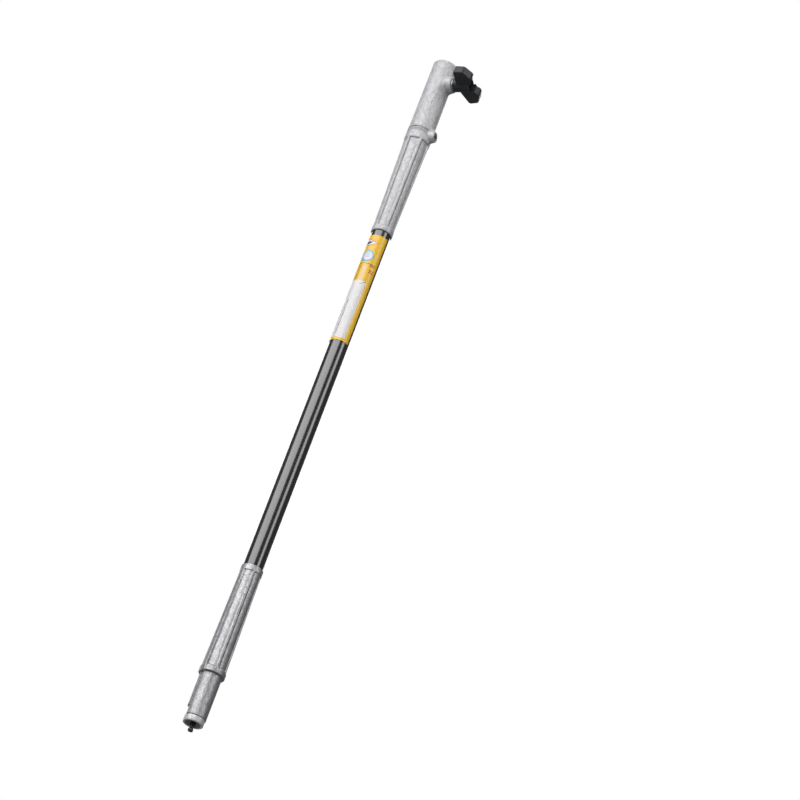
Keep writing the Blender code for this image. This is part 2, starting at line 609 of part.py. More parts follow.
def make_fixing_screw(name, fixing):
    """Socket-head screw through the casting's boss into the tube's wall."""
    frame = radial(fixing["z"], fixing["angle"])
    top = fixing["face"] - GAP
    seat = top - fixing["head_height"]
    tip = TUBE_BORE_R - 0.5
    screw = turned(name, [
        (0.0, top), (fixing["head_r"] - 0.4, top), (fixing["head_r"], top - 0.4),
        (fixing["head_r"], seat), (fixing["shank_r"], seat), (fixing["shank_r"], tip + 0.5),
        (fixing["shank_r"] - 0.5, tip), (0.0, tip)], "zinc_steel", COARSE)
    place(screw, frame)
    socket = prism(name + "_socket", fixing["socket_r"], top - fixing["head_height"] * 0.6,
                   top + PAST, 6)
    place(socket, frame)
    cut(screw, socket)


def main():
    make_tube()
    make_label()
    make_lower_casting()
    make_end_ring()
    make_upper_casting()
    make_drive_shaft()
    make_coupling_sleeve()
    make_bearing("lower", LOWER_BEARING_Z)
    make_bearing("upper", UPPER_BEARING_Z)
    make_clips_and_seal()
    make_bushes()
    make_clamp()
    make_knob()
    make_fixing_screw("upper_fixing_screw", UPPER_FIXING)
    make_fixing_screw("lower_fixing_screw", LOWER_FIXING)


clear_scene()
PARTS = new_collection("pruner_extension_pole")
CUTTERS = new_collection("cutters")
SLOTS = {name: new_material(name) for name in MATERIALS}
main()
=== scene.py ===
"""Looks of the shaft-driven extension pole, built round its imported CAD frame.

The pole stands along +Z, its wing knob is on +X and the shoulder of the lower spigot is at the origin.
Lengths in this script are millimetres and angles degrees, unless a name says otherwise.
"""

from math import cos, hypot, pi, radians, sin

import bmesh
import bpy
import numpy as np
from mathutils import Matrix, Vector, noise


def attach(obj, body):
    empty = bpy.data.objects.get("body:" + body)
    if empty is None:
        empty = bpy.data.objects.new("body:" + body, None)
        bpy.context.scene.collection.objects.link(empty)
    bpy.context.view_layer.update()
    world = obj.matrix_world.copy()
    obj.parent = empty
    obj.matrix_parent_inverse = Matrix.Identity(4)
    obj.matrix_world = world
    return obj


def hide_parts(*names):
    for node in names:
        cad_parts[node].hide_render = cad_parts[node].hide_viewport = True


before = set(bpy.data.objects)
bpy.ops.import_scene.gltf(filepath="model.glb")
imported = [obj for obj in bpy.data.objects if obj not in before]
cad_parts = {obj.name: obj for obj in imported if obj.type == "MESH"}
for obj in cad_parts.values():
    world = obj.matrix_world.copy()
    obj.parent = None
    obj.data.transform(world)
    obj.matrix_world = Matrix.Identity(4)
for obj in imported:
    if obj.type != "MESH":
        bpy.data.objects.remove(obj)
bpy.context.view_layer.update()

SCENE = bpy.context.scene
MM = 0.001

# Sizes shared with the CAD model
TUBE_R, TUBE_BORE_R, TUBE_Z = 13.5, 12.2, (96.0, 884.0)
LABEL_R, LABEL_THICKNESS, LABEL_Z = 13.8, 0.25, (515.2, 691.2)
LABEL_START, LABEL_SWEEP = -203.0, 199.0
RIB_FIRST, RIB_SPACING = 17.0, 60.0     # angle of the first rib and the step to the next
SHAFT_R, SHAFT_Z = 3.5, (-80.0, 916.0)
SHAFT_RING_Z, SHAFT_RING_R = (892.0, -42.0), 3.0    # grooves of the shaft's retaining rings
SPIGOT_R, SPIGOT_END_Z = 14.4, -61.4
FLAT_ANGLE, FLAT_R = -142.0, 12.3       # flat along the spigot
PAD_R, PAD_HALF_WIDTH, PAD_END_Z = 14.6, 4.5, -47.5
UPPER_SCREW = {"z": 875.0, "angle": 7.0, "face": 24.6}
LOWER_SCREW = {"z": 112.0, "angle": 107.0, "face": 19.4}
WEB_Z = 881.0                           # web over the boss of the upper fixing screw
CLAMP_Z, CLAMP_FACE_X, CLAMP_FACE_R = 967.0, 24.3, 11.4
KNOB_BASE_X, KNOB_TURN = 25.9, 87.0
KNOB_HUB_R, KNOB_FOOT_H, KNOB_HUB_TOP_H = 10.2, 0.6, 25.0
KNOB_HEAD_H, KNOB_RECESS_H = 14.0, 20.0
KNOB_WIDTH, KNOB_TAPER, KNOB_REACH = 14.0, 2.5, 33.0    # the wings thin towards their tips
SCREW_R, SCREW_BORE_R, SCREW_END_X = 3.85, 4.15, 17.0
GAP = 0.3                               # clearance between neighbours
CAST_SHARP = 42.0                       # edges of the castings steeper than this stay sharp

# Camera, in degrees and metres
VIEW_AZIMUTH, VIEW_ELEVATION, VIEW_ROLL = 34.5, -29.0, 20.3
VIEW_DISTANCE, VIEW_LENS = 4.187, 141.0
VIEW_AIM_Z, VIEW_SHIFT_RIGHT, VIEW_SHIFT_UP = 0.4706, 0.0958, -0.0371
LIGHT_AIM_Z, FLOOR_Z, FLOOR_HALF_SIZE = 0.47, -3.5, 60.0
KNOB_WING = [(0.0, 8.0), (10.0, 8.0), (31.0, 11.5), (33.0, 14.0), (31.8, 25.5),
             (29.5, 28.0), (18.5, 33.5), (14.0, 33.5), (9.5, 29.5), (0.0, 29.5)]


# ---------------------------------------------------------------- shader graphs

class Graph:
    """Small helper that adds linked nodes to one material."""

    def __init__(self, name):
        self.material = bpy.data.materials.new(name)
        self.material.use_nodes = True
        self.nodes = self.material.node_tree.nodes
        self.links = self.material.node_tree.links
        self.shader = self.nodes["Principled BSDF"]

    def put(self, socket, value):
        if isinstance(value, bpy.types.NodeSocket):
            self.links.new(value, socket)
        else:
            socket.default_value = value

    def set(self, **values):
        for name, value in values.items():
            self.put(self.shader.inputs[name.replace("_", " ")], value)
        return self.material

    def math(self, operation, first, second=0.0, third=0.0):
        node = self.nodes.new("ShaderNodeMath")
        node.operation = operation
        for socket, value in zip(node.inputs, (first, second, third)):
            self.put(socket, value)
        return node.outputs[0]

    def position(self):
        return self.nodes.new("ShaderNodeTexCoord").outputs["Object"]

    def stretched(self, scale):
        node = self.nodes.new("ShaderNodeMapping")
        self.put(node.inputs["Vector"], self.position())
        node.inputs["Scale"].default_value = scale
        return node.outputs[0]

    def noise(self, size, vector=None, detail=3.0, roughness=0.55, distortion=0.0):
        """Noise whose blotches are about size millimetres across."""
        node = self.nodes.new("ShaderNodeTexNoise")
        self.put(node.inputs["Vector"], vector or self.position())
        node.inputs["Scale"].default_value = 1.0 / (size * MM)
        node.inputs["Detail"].default_value = detail
        node.inputs["Roughness"].default_value = roughness
        node.inputs["Distortion"].default_value = distortion
        return node.outputs["Fac"]

    def spread(self, value, low, high, to_low=0.0, to_high=1.0):
        """Stretch part of a value's range over another range."""
        node = self.nodes.new("ShaderNodeMapRange")
        for socket, number in zip(node.inputs, (value, low, high, to_low, to_high)):
            self.put(socket, number)
        return node.outputs[0]

    def mix(self, share, first, second):
        node = self.nodes.new("ShaderNodeMix")
        node.data_type = 'RGBA'
        self.put(node.inputs[0], share)
        for socket, colour in ((node.inputs[6], first), (node.inputs[7], second)):
            self.put(socket, (*colour, 1.0) if isinstance(colour, tuple) else colour)
        return node.outputs[2]

    def attribute(self, name):
        node = self.nodes.new("ShaderNodeAttribute")
        node.attribute_name = name
        return node.outputs["Fac"]

    def bump(self, height, depth, strength=1.0, under=None):
        """Bump with its depth in millimetres, over another bump if there is one."""
        node = self.nodes.new("ShaderNodeBump")
        node.inputs["Distance"].default_value = depth * MM
        node.inputs["Strength"].default_value = strength
        self.put(node.inputs["Height"], height)
        if under:
            self.put(node.inputs["Normal"], under)
        return node.outputs[0]


def cast_material(name, dark, light, metallic, roughness):
    """Tumbled die-cast aluminium: satin, blotchy, with painted shade in its hollows and a painted
    highlight on its raised edges.
    """
    g = Graph(name)
    blotch = g.noise(3.6, g.stretched((1.0, 1.0, 0.55)), 5.0, 0.72, 0.5)
    fleck = g.noise(2.0, None, 3.0, 0.7)
    grey = g.mix(g.spread(blotch, 0.36, 0.64), (dark, dark, dark * 1.03), (light, light, light * 1.02))
    grey = g.mix(g.spread(fleck, 0.55, 0.70, 0.0, 0.6), grey, (dark * 0.55, dark * 0.55, dark * 0.58))
    hollow = g.attribute("hollow")
    # painted shade: darker where the surface lies below its neighbours, most at one foot of each rib
    grey = g.mix(g.spread(hollow, 0.12, 0.60, 0.0, 0.60), grey, (dark * 0.35, dark * 0.35, dark * 0.39))
    # painted highlight: lighter where the surface stands above its neighbours, on the other flank of each
    # rib
    grey = g.mix(g.spread(hollow, -0.60, -0.15, 0.25, 0.0), grey, (0.66, 0.66, 0.67))
    rough = g.spread(g.noise(2.4, None, 3.0, 0.6), 0.3, 0.7, roughness - 0.09, roughness + 0.09)
    skin = g.bump(g.noise(4.5, g.stretched((1.0, 1.0, 0.6)), 2.0), 0.45, 0.45)
    skin = g.bump(g.noise(0.9, None, 3.0, 0.6), 0.12, 0.7, skin)
    return g.set(Base_Color=grey, Metallic=metallic, Roughness=rough, Normal=skin)


def turned_material(name, colour, roughness, metallic, pitch, depth=0.02):
    """Turned metal with fine tool marks round its axis and faint handling marks."""
    g = Graph(name)
    marks = g.noise(pitch, g.stretched((0.02, 0.02, 1.0)), 2.0)
    smear = g.noise(5.0, None, 4.0, 0.6)
    dark = tuple(0.72 * part for part in colour)
    shade = g.mix(g.spread(smear, 0.35, 0.7, 0.0, 0.6), colour, dark)
    rough = g.spread(smear, 0.3, 0.7, roughness * 0.8, roughness * 1.25)
    skin = g.bump(marks, depth, 0.5)
    skin = g.bump(g.noise(0.5, None, 2.0), depth * 0.6, 0.3, skin)
    return g.set(Base_Color=shade, Metallic=metallic, Roughness=rough, Normal=skin)


def tube_material():
    """Gloss black lacquer over drawn tube: slight orange peel, faint dust and length-wise rubs."""
    g = Graph("black_tube")
    rub = g.noise(0.7, g.stretched((1.0, 1.0, 0.02)), 3.0, 0.6)
    dust = g.noise(0.5, None, 2.0, 0.8)
    shade = g.mix(g.spread(rub, 0.62, 0.75, 0.0, 0.35), (0.0045, 0.0045, 0.0055), (0.020, 0.020, 0.024))
    shade = g.mix(g.spread(dust, 0.70, 0.76, 0.0, 0.4), shade, (0.05, 0.05, 0.055))
    rough = g.spread(rub, 0.35, 0.75, 0.20, 0.34)
    peel = g.bump(g.noise(2.2, None, 1.0), 0.020, 0.5)
    return g.set(Base_Color=shade, Roughness=rough, IOR=1.62, Coat_Weight=1.0, Coat_Roughness=0.16,
                 Normal=peel)


def plastic_material(name, colour, size, depth, roughness):
    """Moulded plastic with spark-eroded grain, scuffed a little lighter."""
    g = Graph(name)
    grain = g.noise(size, None, 2.0, 0.6)
    scuff = g.noise(6.0, None, 4.0, 0.65)
    light = tuple(min(1.0, 1.9 * part + 0.012) for part in colour)
    shade = g.mix(g.spread(scuff, 0.55, 0.75, 0.0, 0.6), colour, light)
    rough = g.spread(scuff, 0.3, 0.7, roughness * 0.85, roughness * 1.15)
    return g.set(Base_Color=shade, Roughness=rough, Normal=g.bump(grain, depth, 0.6))


def label_material():
    """Printed label: yellow ground, white panel, generic shapes and rules, a painted highlight band,
    under a clear film.
    """
    g = Graph("printed_label")
    uv = g.nodes.new("ShaderNodeUVMap")
    uv.uv_map = "print"
    split = g.nodes.new("ShaderNodeSeparateXYZ")
    g.put(split.inputs[0], uv.outputs[0])
    x, y = split.outputs[0], split.outputs[1]

    def both(first, second):
        return g.math('MULTIPLY', first, second)

    def between(value, low, high):
        return both(g.math('GREATER_THAN', value, low), g.math('LESS_THAN', value, high))

    def block(left, right, bottom, top):
        return both(between(x, left, right), between(y, bottom, top))

    def side(ax, ay, bx, by):
        """On the left of the line from a to b."""
        run_x, run_y = bx - ax, by - ay
        across = g.math('MULTIPLY_ADD', x, -run_y, run_y * ax - run_x * ay)
        return g.math('GREATER_THAN', g.math('MULTIPLY_ADD', y, run_x, across), 0.0)

    def triangle(a, b, c):
        return both(both(side(*a, *b), side(*b, *c)), side(*c, *a))

    def disc(cx, cy, radius):
        dx, dy = g.math('SUBTRACT', x, cx), g.math('SUBTRACT', y, cy)
        distance = g.math('SQRT', g.math('MULTIPLY_ADD', dy, dy, both(dx, dx)))
        return g.math('LESS_THAN', distance, radius)

    def rules(left, right, bottom, top, pitch, thick, seed):
        """Broken rules that run along the pole."""
        stripe = g.math('LESS_THAN', g.math('MODULO', g.math('SUBTRACT', x, left), pitch), thick)
        breaks = g.nodes.new("ShaderNodeTexNoise")
        breaks.noise_dimensions = '2D'
        place = g.nodes.new("ShaderNodeCombineXYZ")
        row = g.math('FLOOR', g.math('DIVIDE', g.math('SUBTRACT', x, left), pitch))
        g.put(place.inputs[0], g.math('MULTIPLY_ADD', row, 7.3, seed))
        g.put(place.inputs[1], y)
        g.put(breaks.inputs["Vector"], place.outputs[0])
        breaks.inputs["Scale"].default_value = 0.9
        breaks.inputs["Detail"].default_value = 1.0
        shown = g.math('GREATER_THAN', breaks.outputs["Fac"], 0.47)
        return both(both(stripe, shown), block(left, right, bottom, top))

    def soft(centre, half, bottom, top, share):
        """Soft-edged band along the pole."""
        away = g.math('ABSOLUTE', g.math('SUBTRACT', x, centre))
        ends = both(g.spread(y, bottom, bottom + 4.0), g.spread(y, top, top - 8.0))
        return both(g.spread(away, 0.3 * half, half, share, 0.0), ends)

    ink = g.noise(1.2, None, 2.0)
    ground = g.mix(g.spread(ink, 0.3, 0.7, 0.0, 0.35), (0.76, 0.455, 0.006), (0.68, 0.39, 0.005))
    # Each mark is a mask and its colour, painted in turn; places are millimetres across and along.
    paint = [
        # a pale band along the pole, a painted highlight where the gloss catches the light; a darker
        # orange band and a greyer band along the pole; the blank panel, with a dark diagonal line over
        # its corner
        (soft(30.5, 4.6, 97.0, 129.0, 0.65), (0.72, 0.52, 0.34)),
        (soft(21.5, 5.0, 97.0, 132.0, 0.55), (0.42, 0.24, 0.010)),
        (block(4.0, 39.9, 4.4, 99.4), (0.66, 0.64, 0.65)),
        (soft(33.0, 5.5, 30.0, 92.0, 0.35), (0.56, 0.60, 0.58)),
        (both(block(32.0, 39.9, 92.5, 99.4), between(g.math('MULTIPLY_ADD', x, -0.80, y), 66.9, 67.8)),
         (0.13, 0.13, 0.09)),
        # broken rules on the panel
        (rules(24.0, 26.3, 10.5, 67.0, 2.3, 1.1, 1.0), (0.07, 0.055, 0.09)),
        (rules(19.8, 22.1, 12.5, 60.0, 2.3, 0.8, 4.0), (0.22, 0.20, 0.25)),
        (rules(7.0, 16.0, 12.0, 90.0, 1.8, 0.6, 5.0), (0.30, 0.28, 0.34)),
        # round sign
        (disc(27.9, 140.4, 9.5), (0.07, 0.33, 0.48)),
        (disc(28.4, 140.8, 8.3), (0.26, 0.56, 0.72)),
        (disc(28.7, 140.2, 6.3), (0.64, 0.60, 0.66)),
        (block(26.2, 31.0, 138.2, 140.4), (0.58, 0.40, 0.48)),
        (disc(28.6, 143.2, 1.9), (0.40, 0.52, 0.66)),
        # triangular sign
        (triangle((16.0, 154.0), (38.5, 162.6), (16.0, 171.0)), (0.55, 0.17, 0.02)),
        (triangle((17.4, 156.0), (35.6, 162.7), (17.4, 169.2)), (0.68, 0.66, 0.68)),
        (triangle((19.0, 158.6), (30.6, 164.0), (20.4, 165.2)), (0.02, 0.02, 0.025)),
        # line and short bars
        (block(16.0, 37.0, 127.4, 128.3), (0.16, 0.09, 0.02)),
        (block(36.4, 43.4, 126.6, 128.0), (0.11, 0.055, 0.015)),
        (block(36.4, 43.4, 124.2, 125.6), (0.11, 0.055, 0.015)),
        (block(37.4, 44.6, 116.8, 118.8), (0.50, 0.09, 0.01)),
        (block(37.4, 44.6, 113.6, 115.6), (0.50, 0.09, 0.01)),
    ]
    for mask, colour in paint:
        ground = g.mix(mask, ground, colour)
    film = g.bump(g.noise(9.0, None, 2.0), 0.03, 0.5)
    rough = g.spread(g.noise(3.0, None, 3.0), 0.3, 0.7, 0.30, 0.44)
    return g.set(Base_Color=ground, Roughness=rough, Coat_Weight=0.2, Coat_Roughness=0.25, Normal=film)


MATERIALS = {
    "upper_cast": cast_material("upper_cast_aluminium", 0.36, 0.55, 0.42, 0.60),
    "lower_cast": cast_material("lower_cast_aluminium", 0.30, 0.50, 0.88, 0.50),
    "bored_aluminium": turned_material("bored_aluminium", (0.34, 0.34, 0.35), 0.40, 0.92, 0.5),
    "machined_ring": turned_material("machined_ring", (0.66, 0.66, 0.67), 0.48, 0.35, 0.8),
    "black_tube": tube_material(),
    "printed_label": label_material(),
    "drive_steel": turned_material("drive_steel", (0.10, 0.10, 0.105), 0.34, 0.92, 0.6),
    "bearing_steel": turned_material("bearing_steel", (0.52, 0.52, 0.54), 0.20, 1.0, 0.5),
    "zinc_steel": turned_material("zinc_steel", (0.50, 0.51, 0.53), 0.32, 0.95, 0.7),
    "brass": turned_material("brass", (0.62, 0.44, 0.16), 0.33, 1.0, 0.6),
    "black_plastic": plastic_material("black_plastic", (0.014, 0.016, 0.021), 0.35, 0.05, 0.46),
    "white_plastic": plastic_material("white_plastic", (0.62, 0.61, 0.57), 0.5, 0.05, 0.48),
    "seal_rubber": plastic_material("seal_rubber", (0.022, 0.022, 0.023), 0.4, 0.06, 0.70),
}


# ---------------------------------------------------------------- meshes

def around(angle):
    return Matrix.Rotation(radians(angle), 4, 'Z')


def radial(z, angle=0.0, roll=0.0):
    """Frame whose own Z points straight out of the pole at a height and an angle."""
    lift = Matrix.Translation((0.0, 0.0, z * MM))
    return lift @ around(angle) @ Matrix.Rotation(pi / 2, 4, 'Y') @ around(roll)


def finish_mesh(mesh, sharp):
    mesh.validate()
    mesh.shade_smooth()
    mesh.set_sharp_from_angle(angle=radians(sharp))


def new_object(name, mesh, materials):
    obj = bpy.data.objects.new(name, mesh)
    SCENE.collection.objects.link(obj)
    for material in materials:
        mesh.materials.append(MATERIALS[material])
    return obj


def soften(corners, radius, steps=3):
    """Round the corners of a chain of (r, z) points."""
    most_of_leg = 0.4
    result = [corners[0]]
    for before, corner, after in zip(corners, corners[1:], corners[2:]):
        legs = []
        for end in (before, after):
            length = hypot(end[0] - corner[0], end[1] - corner[1])
            reach = min(radius, most_of_leg * length) / length
            legs.append((corner[0] + (end[0] - corner[0]) * reach,
                         corner[1] + (end[1] - corner[1]) * reach))
        for index in range(steps + 1):
            share = index / steps
            result.append(tuple(
                (1 - share) ** 2 * legs[0][axis] + 2 * share * (1 - share) * corner[axis]
                + share ** 2 * legs[1][axis] for axis in (0, 1)))
    result.append(corners[-1])
    return result


def divided(points, spacing):
    """Add points so that no step is longer than spacing(z)."""
    result = [points[0]]
    for (r0, z0), (r1, z1) in zip(points, points[1:]):
        length = hypot(r1 - r0, z1 - z0)
        here, done = z0, 0.0
        stops = []
        while length - done > 1.3 * spacing(here):
            done += spacing(here)
            here = z0 + (z1 - z0) * done / length
            stops.append(done / length)
        for share in stops:
            result.append((r0 + (r1 - r0) * share, z0 + (z1 - z0) * share))
        result.append((r1, z1))
    return result


def skin(name, rings, materials, closed, slots=None, sharp=38.0, attributes=None):
    """Closed mesh over rings of points. An open run of rings starts and ends with a single point."""
    rows, columns = rings.shape[:2]
    inner = rings if closed else rings[1:-1]
    rows = len(inner)
    row = np.arange(rows if closed else rows - 1)[:, None]
    column = np.arange(columns)[None, :]
    below, right = (row + 1) % rows, (column + 1) % columns
    quads = np.stack([row * columns + column, below * columns + column,
                      below * columns + right, row * columns + right], -1).reshape(-1, 4)
    points = inner.reshape(-1, 3)
    faces = quads.tolist()
    if not closed:
        first, last = len(points), len(points) + 1
        points = np.vstack([points, rings[0, 0], rings[-1, 0]])
        base = (rows - 1) * columns
        for index in range(columns):
            following = (index + 1) % columns
            faces.append((first, index, following))
            faces.append((last, base + following, base + index))
    mesh = bpy.data.meshes.new(name)
    mesh.from_pydata((points * MM).tolist(), [], faces)
    for attribute, values in (attributes or {}).items():
        layer = mesh.attributes.new(attribute, 'FLOAT', 'POINT')
        layer.data.foreach_set("value", values.astype(np.float32).ravel())
    if slots is not None:
        per_face = np.repeat(slots, columns)
        mesh.polygons.foreach_set("material_index", per_face.astype(np.int32))
    finish_mesh(mesh, sharp)
    return new_object(name, mesh, materials)


def lathe(name, profile, material, columns=96, rounding=0.0, sharp=38.0):
    """Turned piece from (r, z) points, top to bottom down the outer side."""
    on_axis = profile[0][0] == 0.0
    if rounding:
        chain = profile if on_axis else [profile[-1]] + list(profile) + [profile[0]]
        profile = soften(chain, rounding)
        if not on_axis:
            profile = profile[1:-1]
    outline = np.array(profile)
    angles = np.radians(np.arange(columns) * 360.0 / columns)
    rings = np.stack([outline[:, :1] * np.cos(angles), outline[:, :1] * np.sin(angles),
                      np.repeat(outline[:, 1:], columns, 1)], -1)
    return skin(name, rings, [material], not on_axis, sharp=sharp)


def prism(name, radius, low, high, sides, matrix=None, top_radius=None):
    """Plain tool for a Boolean."""
    bm = bmesh.new()
    middle = Matrix.Translation((0.0, 0.0, (low + high) / 2 * MM))
    bmesh.ops.create_cone(bm, cap_ends=True, segments=sides, radius1=radius * MM,
                          radius2=(top_radius or radius) * MM, depth=(high - low) * MM,
                          matrix=(matrix or Matrix()) @ middle)
    mesh = bpy.data.meshes.new(name)
    bm.to_mesh(mesh)
    bm.free()
    return new_object(name, mesh, [])


def settle(obj, sharp=38.0):
    """Replace an object's mesh with what its modifiers make of it."""
    graph = bpy.context.evaluated_depsgraph_get()
    mesh = bpy.data.meshes.new_from_object(obj.evaluated_get(graph), depsgraph=graph)
    obj.modifiers.clear()
    obj.data = mesh
    finish_mesh(mesh, sharp)
    return obj


def boolean(obj, tools, operation='DIFFERENCE', sharp=38.0):
    """Cut tools out of an object, or join them to it, for good."""
    for tool in tools:
        step = obj.modifiers.new(operation, 'BOOLEAN')
        step.object = tool
        step.operation = operation
        step.solver = 'EXACT'
    settle(obj, sharp)
    for tool in tools:
        bpy.data.objects.remove(tool, do_unlink=True)
    return obj


def stand_for(obj, body, slot, *nodes):
    """The piece rides on a body and takes the place of CAD nodes."""
    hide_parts(*nodes)
    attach(obj, body)
    return obj


# ---------------------------------------------------------------- castings

def rounded_max(a, b, size):
    share = np.clip(0.5 + 0.5 * (a - b) / size, 0.0, 1.0)
    return b + (a - b) * share + size * share * (1 - share)


def rounded_min(a, b, size):
    return -rounded_max(-a, -b, size)


def turn_from(theta, angle):
    """Signed angle in radians from a direction."""
    return np.radians((np.degrees(theta) - angle + 180.0) % 360.0 - 180.0)


def ribbed(theta, r, z, low, high, radii):
    """Six tapering ribs, each with a gutter along one side and a slight dip along the other."""
    half_width, flank, curl = 1.15, 0.95, 0.25
    gutter, gutter_at, gutter_width = 0.62, 2.9, 0.95
    dip, dip_at, dip_width = 0.12, -3.2, 1.4
    run_out = 2.5
    step = (np.degrees(theta) - RIB_FIRST + RIB_SPACING / 2) % RIB_SPACING - RIB_SPACING / 2
    crest = np.interp(z, (low, high), radii)
    across = crest * np.sin(np.radians(step))
    inside = np.clip((z - low) / run_out, 0, 1) * np.clip((high - z) / run_out, 0, 1)
    hollow = gutter * np.exp(-((across - gutter_at) / gutter_width) ** 2)
    hollow = hollow + dip * np.exp(-((across - dip_at) / dip_width) ** 2)
    fall = np.maximum(np.abs(across) - half_width, 0.0)
    rib = crest - flank * fall - curl * fall ** 2
    return rounded_max(r - hollow * inside, np.where(inside > 0, rib, 0.0), 0.4)


def boss(theta, z, middle, angle, base_x, base_r, face, face_r):
    """Distance from the pole's axis to a tapered boss, or 0 beside it."""
    turn = turn_from(theta, angle)
    c, s = np.cos(turn), np.sin(turn)
    slope = (base_r - face_r) / (face - base_x)
    reach = base_r + slope * base_x
    a = s ** 2 - (slope * c) ** 2
    b = 2 * reach * slope * c
    d = (z - middle) ** 2 - reach ** 2
    side = -2 * d / (b + np.sqrt(np.maximum(b ** 2 - 4 * a * d, 1e-9)))
    front = face / np.maximum(c, 0.2)
    found = rounded_min(front, side, 1.1)
    return np.where((np.abs(z - middle) < reach) & (c > 0.3), np.maximum(found, 0.0), 0.0)


def screw_boss(theta, z, screw, base_r, face_r):
    return boss(theta, z, screw["z"], screw["angle"], TUBE_R, base_r, screw["face"], face_r)


def columns_round(count):
    """Angles round the pole, closer together at the ribs."""
    sector = np.linspace(-0.5, 0.5, count // 6, endpoint=False)
    crowded = sector - 0.45 / (2 * pi) * np.sin(2 * pi * sector)
    angles = [RIB_FIRST + RIB_SPACING * (index + crowded) for index in range(6)]
    return np.radians(np.concatenate(angles))


def relief(x, y, z):
    """Slight unevenness of a cast skin."""
    wave = [0.060 * noise.noise(Vector(point) / 4.6) + 0.030 * noise.noise(Vector(point) / 1.9)
            for point in np.stack([x, y, 0.6 * z], -1).reshape(-1, 3).tolist()]
    return np.array(wave).reshape(x.shape)


def spacing_from(bands, elsewhere):
    """Step between rings at a height. The first band that holds the height decides."""
    def spacing(z):
        for low, high, step in bands:
            if low <= z <= high:
                return step
        return elsewhere
    return spacing


def casting(name, material, outside, inside, spacing, shape, columns=300):
    """Cast body: shaped outer side, plain turned bore.

    Its "hollow" attribute is how far a point lies below its surroundings, chiefly below what stands on
    the side of smaller angles; the material paints shade where it is positive, so that one foot of each
    rib is painted darker, and a highlight where it is negative. It fades round the clamp boss.
    """
    outer = np.array(divided(soften(outside, 0.35), spacing))
    bore = soften([outside[-1]] + inside + [outside[0]], 0.25)
    bore = np.array(divided(bore, lambda z: 60.0)[1:-1])
    theta = columns_round(columns)
    r = np.repeat(outer[:, :1], columns, 1)
    z = np.repeat(outer[:, 1:], columns, 1)
    angle = np.repeat(theta[None, :], len(outer), 0)
    shaped = shape(angle, r, z)
    shaped = shaped + relief(shaped * np.cos(angle), shaped * np.sin(angle), z)
    mean = shaped.copy()
    for reach in (3, 5, 7):
        mean = (mean + np.roll(mean, reach, 1) + np.roll(mean, -reach, 1)) / 3
    lee = sum(np.roll(shaped, reach, 1) for reach in (2, 4, 6)) / 3
    calm = 1.0 - 0.85 * np.exp(-((z - CLAMP_Z) / 20.0) ** 2)
    # measure for the painted shade and painted highlight of the castings, weaker near the clamp boss
    hollow = (0.3 * mean + 0.7 * lee - shaped) * calm
    rings_out = np.stack([shaped * np.cos(angle), shaped * np.sin(angle), z], -1)
    bore_r, bore_z = np.repeat(bore[:, :1], columns, 1), np.repeat(bore[:, 1:], columns, 1)
    bore_angle = np.repeat(theta[None, :], len(bore), 0)
    rings_in = np.stack([bore_r * np.cos(bore_angle), bore_r * np.sin(bore_angle), bore_z], -1)
    slots = np.concatenate([np.zeros(len(outer)), np.ones(len(bore))])
    values = np.concatenate([hollow, np.zeros(bore_r.shape)])
    return skin(name, np.concatenate([rings_out, rings_in]), [material, "bored_aluminium"],
                True, slots, CAST_SHARP, {"hollow": values})


def lower_shape(theta, r, z):
    """Ribbed sleeve with a screw boss, and the spigot's flat with a pad on it."""
    result = ribbed(theta, r, z, 5.0, 153.0, (17.1, 14.65))
    result = rounded_max(result, screw_boss(theta, z, LOWER_SCREW, 7.0, 6.0), 1.4)
    turn = turn_from(theta, FLAT_ANGLE)
    c, s = np.maximum(np.cos(turn), 0.2), np.abs(np.sin(turn))
    faces_flat = np.cos(turn) > 0.5
    flat = np.where(faces_flat, FLAT_R / c, 99.0)
    pad = np.minimum(PAD_R / c, PAD_HALF_WIDTH / np.maximum(s, 0.01)) * faces_flat
    slope, ramp = 2.2, 1.1
    below = PAD_END_Z - z
    pad = np.where(below < 0.0, pad, np.where(below < ramp, pad - below * slope, 0.0))
    spigot = rounded_max(rounded_min(r, flat, 0.35), pad, 0.35)
    return np.where(z < -0.15, spigot, result)


def make_lower_casting():
    outside = [(14.1, 160.0), (14.85, 159.5), (14.85, 151.7), (14.25, 150.8), (15.9, 9.4),
               (17.2, 8.0), (17.5, 7.2), (17.5, 0.9), (17.0, 0.0), (SPIGOT_R, 0.0),
               (SPIGOT_R, SPIGOT_END_Z + 0.3), (SPIGOT_R - 0.3, SPIGOT_END_Z)]
    inside = [(11.3, SPIGOT_END_Z), (11.3, -57.4), (9.6, -57.4), (9.6, -53.3), (10.2, -53.3),
              (10.2, -51.9), (9.6, -51.9), (9.6, -42.7), (8.6, -42.7), (8.6, 16.0), (11.0, 16.0),
              (11.0, TUBE_Z[0] - GAP), (TUBE_R + GAP, TUBE_Z[0] - GAP), (TUBE_R + GAP, 160.0)]
    spacing = spacing_from(((-50, -44, 0.5), (-2, 10, 0.45), (103, 121, 0.6), (148, 161, 0.6),
                            (10, 148, 1.7)), 1.3)
    body = casting("lower_casting_skin", "lower_cast", outside, inside, spacing, lower_shape)
    frame_out = radial(LOWER_SCREW["z"], LOWER_SCREW["angle"])
    hole = prism("hole", 2.5, 5.0, 17.0, 32, frame_out)
    counterbore = prism("counterbore", 4.5, 15.8, 24.4, 48, frame_out)
    boolean(body, [hole, counterbore], sharp=CAST_SHARP)
    stand_for(body, "pole", "cast_aluminium", "lower_casting")


